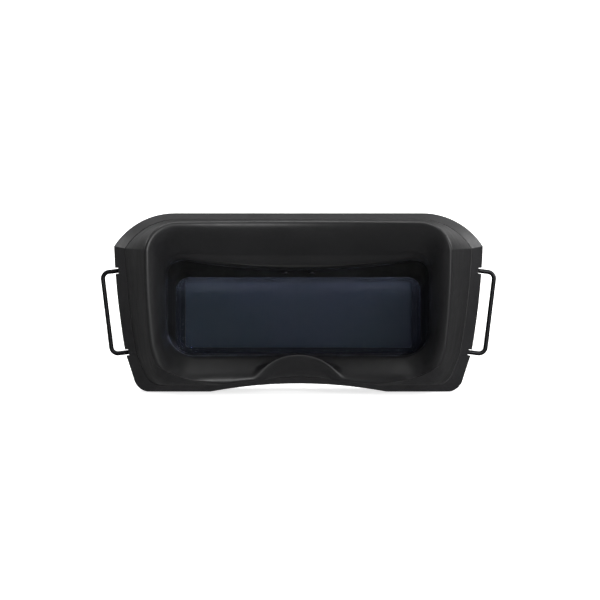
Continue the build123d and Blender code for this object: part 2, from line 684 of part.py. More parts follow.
def fan_grille():
    """Round grille with rings and spokes set in the trim plate."""
    y = (FRONT_Y - 1.4, FRONT_Y + 0.9)
    body = ring(13.1, 11.6, (0, y[0], FAN_Z), (0, y[1], FAN_Z))
    for radius in (8.6, 5.4):
        body += ring(radius + 0.6, radius - 0.6, (0, y[0], FAN_Z), (0, y[1], FAN_Z))
    body += rod(2.6, (0, y[0], FAN_Z), (0, y[1], FAN_Z))
    for index in range(6):
        spoke = Pos(0, (y[0] + y[1]) / 2, FAN_Z) * Rotation(0, index * 60, 0) * Pos(6.6, 0, 0)
        body += spoke * Box(11.0, y[1] - y[0], 1.2)
    return body


def fan_frame():
    """Square fan housing with a bearing tube held by three struts."""
    rear, front = FAN_REAR_Y, FAN_REAR_Y + FAN_THICKNESS
    half = FAN_SIZE / 2
    body = block((-half, half), (rear, front), (FAN_Z - half, FAN_Z + half), 2.0)
    body -= rod(13.6, (0, rear - 1, FAN_Z), (0, front + 1, FAN_Z))
    body += rod(6.0, (0, rear, FAN_Z), (0, rear + 0.8, FAN_Z))
    for index in range(3):
        strut = Pos(0, rear + 0.4, FAN_Z) * Rotation(0, 90 + index * 120, 0) * Pos(9.6, 0, 0)
        body += strut * Box(8.6, 0.8, 1.6)
    body += ring(1.6, 0.75 + FIT, (0, rear, FAN_Z), (0, rear + 3.0, FAN_Z))
    body -= rod(0.75 + FIT, (0, rear - 1, FAN_Z), (0, rear + 4, FAN_Z))
    for x, z in fan_corners():
        body -= rod(0.9 + SCREW_FIT, (x, rear - 1, z), (x, front + 1, z))
    return body


def fan_impeller():
    """Seven-bladed impeller on a short shaft."""
    rear, front = FAN_REAR_Y + 1.2, FAN_REAR_Y + FAN_THICKNESS - 0.5
    body = rod(6.0, (0, rear, FAN_Z), (0, front, FAN_Z))
    body -= rod(5.2, (0, rear - 1, FAN_Z), (0, front - 1.0, FAN_Z))
    body += rod(0.75, (0, FAN_REAR_Y + 0.2, FAN_Z), (0, front - 0.5, FAN_Z))
    for index in range(7):
        blade = Pos(0, (rear + front) / 2, FAN_Z) * Rotation(0, index * 360 / 7, 0) * Pos(9.3, 0, 0)
        body += blade * Rotation(38, 0, 0) * Box(7.4, 0.8, 4.0)
    return body & rod(13.0, (0, FAN_REAR_Y, FAN_Z), (0, front, FAN_Z))


def sma_jack(x):
    """Aerial jack with a plain body in place of the thread, its flange and its nut."""
    body = rod(SMA_RADIUS, (x, PCB_FRONT + 4.2, SMA_Z), (x, FRONT_Y + SMA_REACH, SMA_Z))
    body += extrude(at_y(COVER_SKIN_Y - 2.6) * (Pos(x, SMA_Z) * RegularPolygon(4.6, 6)), -2.5)
    body += extrude(at_y(FRONT_Y + 0.1) * (Pos(x, SMA_Z) * RegularPolygon(4.6, 6)), -1.8)
    body -= rod(2.3, (x, FRONT_Y + 3.0, SMA_Z), (x, FRONT_Y + 9.0, SMA_Z))
    body += rod(1.2, (x, FRONT_Y + 2.0, SMA_Z), (x, FRONT_Y + 6.5, SMA_Z))
    body -= rod(0.45, (x, FRONT_Y + 3.5, SMA_Z), (x, FRONT_Y + 7.0, SMA_Z))
    return body


def patch_antenna(x):
    """Flat patch aerial: ground plate, ceramic core and top plate in one piece."""
    y = COVER_SKIN_Y - 3.6
    body = block((x - 14, x + 14), (y, y + 1.0), (31, 59), 1.0)
    body += block((x - 11, x + 11), (y + 0.9, y + 3.0), (34, 56), 1.0)
    return body


# --- Controls and ports ---------------------------------------------------------

BOARD_THICKNESS = 1.2
SWITCH_HEIGHT = 2.2
CAP_TOP = 90.3


def button(x):
    """Button cap with a collar that stops it inside the top wall, and a stem for its switch."""
    stem_base = BOARD_TOP + SWITCH_HEIGHT + 1.0
    cap = rod(BUTTON_RADIUS, (x, BUTTON_Y, 85.6), (x, BUTTON_Y, CAP_TOP))
    cap = fillet(cap.edges().sort_by(Axis.Z)[-1], 0.6)
    collar = rod(BUTTON_RADIUS + 1.2, (x, BUTTON_Y, 84.7), (x, BUTTON_Y, 85.9))
    stem = rod(1.5, (x, BUTTON_Y, stem_base), (x, BUTTON_Y, 85.0))
    return cap + collar + stem


def button_board():
    """Small board under the top wall for the three buttons and the status light."""
    body = block((-61, -3), (11.0, 23.4), (BOARD_TOP - BOARD_THICKNESS, BOARD_TOP))
    for x, y in BOARD_POSTS:
        body -= rod(0.8 + SCREW_FIT, (x, y, BOARD_TOP - 3), (x, y, BOARD_TOP + 1))
    return body


def port_board(side):
    """Small upright board that the side ports are soldered to."""
    inner = PORT_FACE_X - PORT_DEPTH
    return block(sorted((side * (inner - 1.6), side * inner)), (14.5, 26.0), (26.0, 65.0))


def upward_screws(places, seat):
    """Small screws driven up from below at height seat."""
    group = Part()
    for x, y in places:
        group += screw(1.5, 1.0, 0.8, 4.5, (x, y, seat), (0, 0, 1))
    return group


def tact_switches():
    """One low switch under each button."""
    group = Part()
    for x in BUTTON_XS.values():
        group += block((x - 3, x + 3), (BUTTON_Y - 3, BUTTON_Y + 3), (BOARD_TOP, BOARD_TOP + 1.6))
        group += rod(1.5, (x, BUTTON_Y, BOARD_TOP + 1.5), (x, BUTTON_Y, BOARD_TOP + SWITCH_HEIGHT))
    return group


def led_light_pipe():
    """Clear rod that carries the status light to the top wall."""
    return rod(1.5, (LED_X, BUTTON_Y, BOARD_TOP), (LED_X, BUTTON_Y, 89.6))


def menu_wheel():
    """Ribbed thumb wheel on a through bore."""
    half = WHEEL_WIDTH / 2
    body = rod(WHEEL_RADIUS, (WHEEL_X - half, BUTTON_Y, WHEEL_Z), (WHEEL_X + half, BUTTON_Y, WHEEL_Z))
    body = fillet(body.edges().filter_by(GeomType.CIRCLE), 0.6)
    for index in range(24):
        groove = Pos(WHEEL_X, BUTTON_Y, WHEEL_Z) * Rotation(index * 15, 0, 0) * Pos(0, 0, WHEEL_RADIUS)
        body -= groove * Rotation(45, 0, 0) * Box(WHEEL_WIDTH + 2, 0.7, 0.7)
    start = (WHEEL_X - half - 1, BUTTON_Y, WHEEL_Z)
    end = (WHEEL_X + half + 1, BUTTON_Y, WHEEL_Z)
    return body - rod(1.0 + FIT, start, end)


def wheel_bracket():
    """Fork that carries the wheel pin."""
    body = block((WHEEL_X - 10.0, WHEEL_X + 10.0), (BUTTON_Y - 4.0, BUTTON_Y + 4.0),
                 (WHEEL_BASE_TOP - 1.4, WHEEL_BASE_TOP))
    for side in (-1, 1):
        x = WHEEL_X + side * (WHEEL_WIDTH / 2 + 1.1)
        body += block((x - 0.7, x + 0.7), (BUTTON_Y - 3.0, BUTTON_Y + 3.0), (WHEEL_BASE_TOP - 0.2, 86.0))
    for x, y in WHEEL_POSTS:
        body -= rod(0.8 + SCREW_FIT, (x, y, WHEEL_BASE_TOP - 3), (x, y, WHEEL_BASE_TOP + 1))
    return body - rod(1.0 + 0.005, (WHEEL_X - 9, BUTTON_Y, WHEEL_Z), (WHEEL_X + 9, BUTTON_Y, WHEEL_Z))


def wheel_pin():
    """Steel pin through the fork and wheel."""
    reach = WHEEL_WIDTH / 2 + 1.8
    return rod(1.0, (WHEEL_X - reach, BUTTON_Y, WHEEL_Z), (WHEEL_X + reach, BUTTON_Y, WHEEL_Z))


def port_shell(name):
    """Outer block of a side port, flush inside its opening."""
    side, z, depth, height = PORTS[name]
    x = sorted((side * (PORT_FACE_X - PORT_DEPTH), side * PORT_FACE_X))
    return block(x, (PORT_Y - depth / 2, PORT_Y + depth / 2), (z - height / 2, z + height / 2))


def cavity(name, depth, width, height):
    """Rectangular socket in a side port."""
    side, z = PORTS[name][0], PORTS[name][1]
    x = sorted((side * (PORT_FACE_X - depth), side * (PORT_FACE_X + 1)))
    return block(x, (PORT_Y - width / 2, PORT_Y + width / 2), (z - height / 2, z + height / 2))


def dc_jack():
    """5.5 by 2.1 mm power socket."""
    z = PORTS["dc_jack"][1]
    body = port_shell("dc_jack")
    body -= rod(2.8, (-PORT_FACE_X + 9.5, PORT_Y, z), (-PORT_FACE_X - 1, PORT_Y, z))
    return body + rod(1.0, (-PORT_FACE_X + 10, PORT_Y, z), (-PORT_FACE_X + 0.6, PORT_Y, z))


def hdmi_port():
    """Video input socket with its tongue."""
    body = port_shell("hdmi_port") - cavity("hdmi_port", 9.0, 4.4, 14.0)
    z = PORTS["hdmi_port"][1]
    tongue_x = (-PORT_FACE_X + 1.0, -PORT_FACE_X + 9.5)
    return body + block(tongue_x, (PORT_Y - 0.6, PORT_Y + 0.6), (z - 6, z + 6))


def usb_c_port():
    """USB-C socket with its tongue."""
    body = port_shell("usb_c_port") - cavity("usb_c_port", 7.0, 2.5, 8.3)
    z = PORTS["usb_c_port"][1]
    tongue_x = (PORT_FACE_X - 7.5, PORT_FACE_X - 1.0)
    return body + block(tongue_x, (PORT_Y - 0.35, PORT_Y + 0.35), (z - 3.3, z + 3.3))


def microsd_slot():
    """Card slot."""
    return port_shell("microsd_slot") - cavity("microsd_slot", 10.0, 1.2, 11.2)


def audio_jack():
    """3.5 mm headphone socket."""
    z = PORTS["audio_jack"][1]
    return port_shell("audio_jack") - rod(1.8, (PORT_FACE_X - 11, PORT_Y, z), (PORT_FACE_X + 1, PORT_Y, z))


# --- Fasteners ------------------------------------------------------------------

def screw_group(places, y, forward, head, shank, length):
    """Identical screws across the goggles, heads seated at depth y."""
    group = Part()
    for x, z in places:
        group += screw(head[0], head[1], shank, length, (x, y, z), (0, forward, 0))
    return group


def nodes():
    """Every sub-part by name."""
    floor_y = SEAM_Y + BULKHEAD
    flange_y = floor_y + SHIELD_FLANGE
    made = {
        "face_frame": face_frame(),
        "main_housing": main_housing(),
        "front_cover": front_cover(),
        "front_panel": front_panel(),
        "fan_grille": fan_grille(),
        "light_shield": light_shield(),
        "ceiling_screws": ceiling_screws(),
        "lens": lens(),
        "lens_gasket": lens_gasket(),
        "lens_retainer": lens_retainer(),
        "display_bracket": display_bracket(),
        "display_gasket": display_gasket(),
        "lcd_panel": lcd_panel(),
        "light_guide": light_guide(),
        "backlight_tray": backlight_tray(),
        "display_ribbon": display_ribbon(),
        "main_pcb": main_pcb(),
        "pcb_standoffs": pcb_standoffs(),
        "processor": processor(),
        "heatsink": heatsink(),
        "receiver_left": receiver(-38.0),
        "receiver_right": receiver(38.0),
        "board_chips": board_chips(),
        "buzzer": buzzer(),
        "patch_antenna_left": patch_antenna(-38.0),
        "patch_antenna_right": patch_antenna(38.0),
        "fan_frame": fan_frame(),
        "fan_impeller": fan_impeller(),
        "button_board": button_board(),
        "tact_switches": tact_switches(),
        "led_light_pipe": led_light_pipe(),
        "menu_wheel": menu_wheel(),
        "wheel_bracket": wheel_bracket(),
        "board_screws": upward_screws(BOARD_POSTS, BOARD_TOP - BOARD_THICKNESS),
        "wheel_screws": upward_screws(WHEEL_POSTS, WHEEL_BASE_TOP - 1.4),
        "wheel_pin": wheel_pin(),
        "dc_jack": dc_jack(),
        "hdmi_port": hdmi_port(),
        "usb_c_port": usb_c_port(),
        "microsd_slot": microsd_slot(),
        "audio_jack": audio_jack(),
        "bail_retainer_screws": bail_retainer_screws(),
        "frame_screws": screw_group(FRAME_SCREWS, floor_y, -1, (2.0, 1.4), 1.0, 8.0),
        "shield_screws": screw_group(SHIELD_POINTS, flange_y, -1, (1.9, 1.3), 1.0, 4.6),
        "retainer_screws": screw_group(RETAINER_POINTS, flange_y + 3.0, -1, (1.9, 1.3), 1.0, 5.0),
        "bracket_screws": screw_group(BRACKET_POSTS, BRACKET_Y + BRACKET_THICKNESS, -1, (1.9, 1.3), 1.0, 8.0),
        "pcb_screws": screw_group(STANDOFFS, PCB_FRONT, -1, (1.8, 1.3), 1.0, 5.0),
        "cover_screws": screw_group(COVER_POSTS, COVER_Y + 2.2, -1, (2.3, 1.6), 1.2, 12.0),
        "fan_screws": screw_group(fan_corners(), FAN_REAR_Y, 1, (1.7, 1.0), 0.9, 6.4),
    }
    for name, x in BUTTON_XS.items():
        made[name] = button(x)
    for name, x in SMA_PLACES.items():
        made[name] = sma_jack(x)
    for name, side in (("left", -1), ("right", 1)):
        made[f"bail_{name}"] = bail(side)
        made[f"bail_retainer_{name}"] = bail_retainer(side)
        made[f"port_board_{name}"] = port_board(side)
    rear = made["face_frame"].bounding_box().min.Y
    front = FRONT_Y + SMA_REACH
    centre = Pos(0, -(rear + front) / 2, 0)
    return {name: centre * shape for name, shape in made.items()}


def write(made):
    """One STEP file for each node."""
    os.makedirs("parts", exist_ok=True)
    for name, shape in made.items():
        export_step(shape, f"parts/{name}.step")


write(nodes())
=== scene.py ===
import math

import bpy
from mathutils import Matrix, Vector
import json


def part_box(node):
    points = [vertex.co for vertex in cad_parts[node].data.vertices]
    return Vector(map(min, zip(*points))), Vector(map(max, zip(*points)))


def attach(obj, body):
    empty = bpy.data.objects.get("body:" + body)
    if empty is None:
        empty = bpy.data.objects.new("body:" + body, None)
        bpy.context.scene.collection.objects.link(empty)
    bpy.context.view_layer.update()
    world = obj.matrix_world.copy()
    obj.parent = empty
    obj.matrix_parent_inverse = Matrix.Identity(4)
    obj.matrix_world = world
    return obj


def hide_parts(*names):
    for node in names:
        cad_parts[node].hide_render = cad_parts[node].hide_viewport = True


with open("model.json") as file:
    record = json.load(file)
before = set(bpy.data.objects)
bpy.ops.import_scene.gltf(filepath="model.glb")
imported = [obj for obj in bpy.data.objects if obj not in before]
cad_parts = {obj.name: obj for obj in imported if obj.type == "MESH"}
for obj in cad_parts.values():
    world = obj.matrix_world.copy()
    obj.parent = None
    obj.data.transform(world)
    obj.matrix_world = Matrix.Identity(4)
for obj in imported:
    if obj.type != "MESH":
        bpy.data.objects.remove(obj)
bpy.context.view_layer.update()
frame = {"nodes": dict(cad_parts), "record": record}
NODES = frame["nodes"]
SLOTS = {part["node"]: part["material_slot"] for part in frame["record"]["subparts"]}
MM = 0.001

# Planes and sizes in mm, taken from the frame
HOUSING_LOW, HOUSING_HIGH = (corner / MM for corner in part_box("main_housing"))
SEAM_Y = HOUSING_LOW.y
TOP = HOUSING_HIGH.z
HALF_WIDTH = HOUSING_HIGH.x


# --- Camera, floor and light ----------------------------------------------------

CAMERA_DISTANCE = 0.75
CAMERA_AZIMUTH = 0.0
CAMERA_HEIGHT = 0.047
AIM = Vector((0.0008, (SEAM_Y + 8) * MM, CAMERA_HEIGHT))
FIELD_WIDTH = 0.308


FLOOR_HALF, FLOOR_START, FLOOR_END = 0.85, -0.9, 1.6
BACKDROP_CURVE, BACKDROP_TOP, BACKDROP_STEPS = 1.2, 4.0, 16
FLOOR_WHITE = (0.93, 0.93, 0.93, 1)
WHITE = (1, 1, 1, 1)
FLOOR_GLOW = 0.75
WORLD_GLOW = 0.10
BACKDROP_GLOW = 1.0
# Name, place, point aimed at, size and power
LIGHTS = [
    ("top_light", (0.0, 0.12, 1.0), (0, 0, 0.05), (1.0, 0.5), 6.0),
    ("left_light", (-1.1, 0.30, 0.75), (0, 0, 0.05), (0.3, 0.4), 2.6),
    ("right_light", (1.1, 0.20, 0.80), (0, 0, 0.05), (0.3, 0.4), 8.0),
    ("left_corner", (-0.62, 0.95, 0.72), (0, 0, 0.05), (0.5, 0.5), 0.5),
    ("right_corner", (0.62, 0.95, 0.72), (0, 0, 0.05), (0.5, 0.5), 0.8),
    ("front_light", (0.55, -1.4, 0.50), (0, 0, 0.05), (0.8, 0.6), 15.0),
    ("back_light", (0, 1.3, 0.9), (0, 2.4, 0.7), (1.5, 1.0), 20.0),
]


def add_camera():
    """Level camera that looks at the face side."""
    data = bpy.data.cameras.new("camera")
    data.sensor_width = 36.0
    data.lens = data.sensor_width * CAMERA_DISTANCE / FIELD_WIDTH
    data.clip_start = 0.01
    data.clip_end = 20.0
    camera = bpy.data.objects.new("camera", data)
    bpy.context.scene.collection.objects.link(camera)
    turn = math.radians(CAMERA_AZIMUTH)
    back = Vector((math.sin(turn), -math.cos(turn), 0.0))
    camera.location = AIM + back * CAMERA_DISTANCE
    camera.rotation_mode = "QUATERNION"
    camera.rotation_quaternion = (-back).to_track_quat("-Z", "Y")
    bpy.context.scene.camera = camera


def area_light(name, place, target, size, power):
    """Rectangular soft box aimed at a point."""
    data = bpy.data.lights.new(name, "AREA")
    data.shape = "RECTANGLE"
    data.size, data.size_y = size
    data.energy = power
    light = bpy.data.objects.new(name, data)
    bpy.context.scene.collection.objects.link(light)
    light.location = place
    aim = Vector(target) - Vector(place)
    light.rotation_mode = "QUATERNION"
    light.rotation_quaternion = aim.to_track_quat("-Z", "Y")


def mesh_object(name, points, faces):
    """Smooth-shaded mesh object from points and faces."""
    mesh = bpy.data.meshes.new(name)
    mesh.from_pydata([tuple(point) for point in points], [], faces)
    mesh.update()
    for face in mesh.polygons:
        face.use_smooth = True
    made = bpy.data.objects.new(name, mesh)
    bpy.context.scene.collection.objects.link(made)
    return made


def add_stage():
    """Pale floor that curves up into a backdrop, with soft studio light."""
    curve = BACKDROP_CURVE
    profile = [(FLOOR_START, 0.0), (FLOOR_END, 0.0)]
    for step in range(1, BACKDROP_STEPS + 1):
        angle = math.radians(90 * step / BACKDROP_STEPS)
        profile.append((FLOOR_END + curve * math.sin(angle), curve * (1 - math.cos(angle))))
    profile.append((FLOOR_END + curve, BACKDROP_TOP))
    points = [(side * FLOOR_HALF, y, z) for y, z in profile for side in (-1, 1)]
    faces = [(2 * row, 2 * row + 1, 2 * row + 3, 2 * row + 2) for row in range(len(profile) - 1)]
    floor = mesh_object("floor", points, faces)
    material = bpy.data.materials.new("floor_white")
    material.use_nodes = True
    shader = material.node_tree.nodes["Principled BSDF"]
    shader.inputs["Base Color"].default_value = FLOOR_WHITE
    shader.inputs["Roughness"].default_value = 0.9
    shader.inputs["Emission Color"].default_value = WHITE
    shader.inputs["Emission Strength"].default_value = FLOOR_GLOW
    floor.data.materials.append(material)
    floor.visible_glossy = False

    world = bpy.data.worlds.new("studio")
    world.use_nodes = True
    background = world.node_tree.nodes["Background"]
    background.inputs["Color"].default_value = WHITE
    # The world lights the object dimly, and is pale where the camera sees past the floor.
    links = world.node_tree.links
    rays = world.node_tree.nodes.new("ShaderNodeLightPath")
    strength = world.node_tree.nodes.new("ShaderNodeMapRange")
    strength.inputs["To Min"].default_value = WORLD_GLOW
    strength.inputs["To Max"].default_value = BACKDROP_GLOW
    links.new(rays.outputs["Is Camera Ray"], strength.inputs["Value"])
    links.new(strength.outputs["Result"], background.inputs["Strength"])
    bpy.context.scene.world = world
    for name, place, target, size, power in LIGHTS:
        area_light(name, place, target, size, power)
    bpy.context.scene.view_settings.view_transform = "Standard"




# --- Materials ------------------------------------------------------------------

class Shader:
    """A node material with short calls for the nodes that the materials share."""

    def __init__(self, name):
        self.material = bpy.data.materials.new(name)
        self.material.use_nodes = True
        self.tree = self.material.node_tree
        self.bsdf = self.tree.nodes["Principled BSDF"]
        self.place = self.node("ShaderNodeTexCoord").outputs["Object"]

    def feed(self, socket, value):
        """Link a node's output to a socket, or set the socket's value."""
        if isinstance(value, bpy.types.NodeSocket):
            self.tree.links.new(value, socket)
        elif isinstance(value, tuple) and len(value) == 3 and socket.type == "RGBA":
            socket.default_value = (*value, 1)
        else:
            socket.default_value = value

    def node(self, kind, **inputs):
        """A new node with some of its inputs set or linked."""
        made = self.tree.nodes.new(kind)
        for key, value in inputs.items():
            self.feed(made.inputs[key.replace("_", " ")], value)
        return made

    def noise(self, scale, detail=2.0, rough=0.5, stretch=None):
        """Noise in object space; the scale counts features in a metre."""
        place = self.place
        if stretch:
            place = self.node("ShaderNodeMapping", Vector=place, Scale=stretch).outputs["Vector"]
        made = self.node("ShaderNodeTexNoise", Vector=place, Scale=scale, Detail=detail, Roughness=rough)
        return made.outputs["Fac"]

    def cells(self, scale, feature="F1"):
        """Cell pattern in object space."""
        made = self.node("ShaderNodeTexVoronoi", Vector=self.place, Scale=scale)
        made.feature = feature
        return made.outputs["Distance"]

    def spread(self, value, low, high, start=0.3, end=0.7):
        """Value moved from the range start..end to low..high."""
        made = self.node("ShaderNodeMapRange", Value=value, From_Min=start, From_Max=end,
                         To_Min=low, To_Max=high)
        return made.outputs["Result"]

    def mix(self, share, first, second):
        """Colour between two colours."""
        made = self.tree.nodes.new("ShaderNodeMix")
        made.data_type = "RGBA"
        self.feed(made.inputs[0], share)
        self.feed(made.inputs[6], first)
        self.feed(made.inputs[7], second)
        return made.outputs[2]

    def bump(self, height, depth, strength=1.0, normal=None):
        """Bump of a real depth in metres."""
        made = self.node("ShaderNodeBump", Height=height, Strength=strength, Distance=depth)
        if normal:
            self.feed(made.inputs["Normal"], normal)
        return made.outputs["Normal"]

    def soft_edges(self, radius):
        """Shading that rounds sharp edges by a small radius."""
        made = self.node("ShaderNodeBevel", Radius=radius)
        made.samples = 4
        return made.outputs["Normal"]

    def put(self, **inputs):
        """Set or link sockets of the main shader."""
        for key, value in inputs.items():
            self.feed(self.bsdf.inputs[key.replace("_", " ")], value)


def scaled(colour, factor):
    """Colour made lighter or darker."""
    return tuple(channel * factor for channel in colour)


def plastic(name, colour, rough, grain=3600.0, depth=0.00002, mottle=0.22, level=0.5, edge=0.00035):
    """Moulded plastic with spark-eroded grain, faint mottling, dust and handling marks."""
    s = Shader(name)
    cloud = s.spread(s.noise(42.0, 4.0, 0.6), 0.0, 1.0)
    base = s.mix(cloud, scaled(colour, 1 - mottle), scaled(colour, 1 + mottle))
    dust = s.spread(s.noise(grain * 0.5, 2.0, 0.7), 0.0, 0.3, 0.55, 0.8)
    base = s.mix(dust, base, scaled(colour, 2.2))
    marks = s.noise(150.0, 5.0, 0.7, (1, 1, 0.3))
    normal = s.bump(s.noise(grain, 3.0, 0.6), depth, 1.0, s.soft_edges(edge) if edge else None)
    normal = s.bump(s.noise(grain * 0.1, 2.0), depth * 1.5, 0.5, normal)
    s.put(Base_Color=base, Roughness=s.spread(marks, rough - 0.06, rough + 0.09), Normal=normal,
          Specular_IOR_Level=level)
    return s.material


def metal(name, colour, rough, stretch=(1, 1, 1), scale=900.0, depth=0.000006, spots=0.25, edge=0.0002):
    """Metal with brushed or cast streaks and duller patches."""
    s = Shader(name)
    streak = s.noise(scale, 4.0, 0.6, stretch)
    patch = s.spread(s.noise(140.0, 4.0, 0.6), 0.0, 1.0)
    base = s.mix(patch, scaled(colour, 1 - spots), colour)
    value = s.spread(streak, rough - 0.08, rough + 0.12)
    normal = s.bump(streak, depth, 1.0, s.soft_edges(edge))
    s.put(Base_Color=base, Metallic=1.0, Roughness=value, Normal=normal)
    return s.material


def clear_acrylic():
    """Clear polished acrylic with a bluish coating and a trace of dust and haze."""
    s = Shader("clear_acrylic")
    tint = s.mix(s.spread(s.noise(14.0, 2.0), 0.0, 1.0), (0.93, 0.985, 0.95), (0.95, 0.97, 0.99))
    haze = s.spread(s.noise(90.0, 3.0, 0.5), 0.03, 0.06, 0.2, 0.8)
    s.put(Base_Color=tint, Roughness=haze)
    s.bsdf.inputs["Specular IOR Level"].default_value = 0.08
    s.bsdf.inputs["Transmission Weight"].default_value = 1.0
    s.bsdf.inputs["IOR"].default_value = 1.49
    s.bsdf.inputs["Specular Tint"].default_value = (0.55, 0.62, 1.0, 1)
    return s.material


def display_glass():
    """Switched-off display: dark blue-grey with a cloudy tint and faint purple patches."""
    s = Shader("display_glass")
    cloud = s.spread(s.noise(16.0, 2.0, 0.5), 0.0, 1.0)
    base = s.mix(cloud, (0.011, 0.019, 0.029), (0.015, 0.019, 0.037))
    purple = s.spread(s.noise(9.0, 1.0), 0.0, 0.6, 0.5, 0.75)
    base = s.mix(purple, base, (0.021, 0.017, 0.037))
    s.put(Base_Color=base, Roughness=s.spread(s.noise(60.0, 3.0), 0.40, 0.46, 0.0, 1.0),
          Specular_IOR_Level=0.1)
    return s.material


def circuit_board():
    """Solder mask over copper tracks, with round vias."""
    s = Shader("circuit_board")
    tracks = s.node("ShaderNodeTexBrick", Vector=s.place, Scale=420.0, Mortar_Size=0.03)
    lines = s.spread(tracks.outputs["Fac"], 0.0, 1.0, 0.2, 0.8)
    base = s.mix(lines, (0.008, 0.040, 0.022), (0.016, 0.075, 0.040))
    vias = s.spread(s.cells(450.0), 1.0, 0.0, 0.10, 0.16)
    base = s.mix(vias, base, (0.50, 0.42, 0.22))
    s.put(Base_Color=base, Roughness=s.spread(s.noise(500.0, 3.0), 0.28, 0.42),
          Normal=s.bump(lines, 0.00002, 0.6, s.bump(s.noise(2200.0, 2.0), 0.000006)))
    return s.material


def patch_ceramic():
    """Fired ceramic with fine pores and a cream tone."""
    s = Shader("patch_ceramic")
    pores = s.spread(s.cells(2600.0), 0.0, 1.0, 0.0, 0.35)
    base = s.mix(s.spread(s.noise(120.0, 4.0), 0.0, 1.0), (0.52, 0.47, 0.38), (0.62, 0.58, 0.49))
    base = s.mix(pores, (0.36, 0.32, 0.26), base)
    s.put(Base_Color=base, Roughness=s.spread(s.noise(400.0, 3.0), 0.45, 0.62),
          Normal=s.bump(pores, 0.00002, 0.6, s.soft_edges(0.0002)))
    return s.material


MATERIALS = {
    "shell_plastic": plastic("shell_plastic", (0.0095, 0.0095, 0.0105), 0.44),
    "frame_plastic": plastic("frame_plastic", (0.0090, 0.0090, 0.0098), 0.42,
                             4400.0, 0.000014, 0.15, 0.45, 0.0),
    "shield_plastic": plastic("shield_plastic", (0.0070, 0.0072, 0.0072), 0.62,
                              2600.0, 0.00003, 0.25, 0.22),
    # Painted shade: a darker copy of the plastic for parts in the shade behind the lens
    "painted_shade_plastic": plastic("painted_shade_plastic", (0.0030, 0.0034, 0.0032), 0.7,
                            2600.0, 0.00003, 0.25, 0.12),
    "trim_plastic": plastic("trim_plastic", (0.012, 0.012, 0.013), 0.32, 5200.0, 0.000006, 0.12),
    "black_nylon": plastic("black_nylon", (0.014, 0.014, 0.014), 0.55, 2200.0, 0.000018, 0.3),
    "rubber_seal": plastic("rubber_seal", (0.016, 0.016, 0.016), 0.82, 1800.0, 0.00004, 0.35, 0.3),
    "chip_epoxy": plastic("chip_epoxy", (0.018, 0.018, 0.020), 0.50, 3000.0, 0.00001, 0.2),
    "black_wire": metal("black_wire", (0.035, 0.035, 0.037), 0.42, (1, 1, 0.08), 2400.0),
    "tin_shield": metal("tin_shield", (0.62, 0.61, 0.58), 0.34, (0.15, 1, 1), 1200.0),
    "bare_aluminium": metal("bare_aluminium", (0.70, 0.71, 0.72), 0.36, (1, 1, 0.06), 1600.0),
    "gold_brass": metal("gold_brass", (0.80, 0.58, 0.26), 0.28, (1, 0.2, 1), 1400.0),
    "black_screws": metal("black_screws", (0.055, 0.055, 0.060), 0.40, (1, 1, 1), 1800.0, 0.00001, 0.35),
    "clear_acrylic": clear_acrylic(),
    "display_glass": display_glass(),
    "circuit_board": circuit_board(),
    "patch_ceramic": patch_ceramic(),
}


def paint(made, slot):
    """Give an object the material of its slot."""
    made.data.materials.clear()
    made.data.materials.append(MATERIALS[slot])


# Nodes seen past the edge of the lens, darker than their slot's plastic: painted shade for the recess behind
# the lens
PAINTED_SHADE_NODES = ("lens_retainer", "display_bracket")
for node, made in NODES.items():
    paint(made, "painted_shade_plastic" if node in PAINTED_SHADE_NODES else SLOTS[node])


# --- Face frame -----------------------------------------------------------------
# Lengths in mm. A section is a list of points on a closed loop; the loops of all
# sections run in step, so rows of faces join them.

FACE_RADIUS = 140.0
LIP_RADIUS = 149.0
FACE_AXIS_Y = SEAM_Y - 155.0
RIM_Y = SEAM_Y - 37.0
SPLITS = (18, 18, 26, 6, 10, 14, 36)
NOSE_SECTIONS = ((36.0, 20.0, 20.0), (18.0, 18.0, 2.5), (-1.0, 16.0, -12.6))
NOSE_WALL = 10.0
NOSE_RISE = 3.8
NOSE_BLEND = 5.0
RIM_INSET = 3.6
SEAM_INSET, EDGE_INSET = 1.5, 0.35
# Tunnel mouth and its end at the lens: half width, low, high, upper and lower corner radius
TUNNEL_MOUTH = (65.5, 18.8, 70.6, 9.0, 15.0)
TUNNEL_END = (63.0, 19.7, 58.7, 7.0, 7.0)
# How far the sleeve and the hidden edge behind it reach past the lip, and out from the wall
SLEEVE_REACH, SLEEVE_OUTSET = 7.0, -0.03
BEHIND_REACH, BEHIND_OUTSET = 6.0, 2.2


def lerp(first, second, share):
    """Point between two points."""
    return tuple(a + (b - a) * share for a, b in zip(first, second))


def arc(centre, start, end, count):
    """Points after the start of an arc, up to its end, by the short way round."""
    radius = math.dist(centre, start)
    first = math.atan2(start[1] - centre[1], start[0] - centre[0])
    turn = math.atan2(end[1] - centre[1], end[0] - centre[0]) - first
    turn = (turn + math.pi) % (2 * math.pi) - math.pi
    points = []
    for index in range(1, count + 1):
        angle = first + turn * index / count
        points.append((centre[0] + radius * math.cos(angle), centre[1] + radius * math.sin(angle)))
    return points


def circle_centre(a, b, c):
    """Centre of the circle through three points."""
    d = 2 * (a[0] * (b[1] - c[1]) + b[0] * (c[1] - a[1]) + c[0] * (a[1] - b[1]))
    sums = [p[0] ** 2 + p[1] ** 2 for p in (a, b, c)]
    x = (sums[0] * (b[1] - c[1]) + sums[1] * (c[1] - a[1]) + sums[2] * (a[1] - b[1])) / d
    y = (sums[0] * (c[0] - b[0]) + sums[1] * (a[0] - c[0]) + sums[2] * (b[0] - a[0])) / d
    return x, y


def level_centre(start, end):
    """Centre of the circle that leaves start level and passes through end."""
    dx, dz = end[0] - start[0], end[1] - start[1]
    return start[0], start[1] + (dx * dx + dz * dz) / (2 * dz)


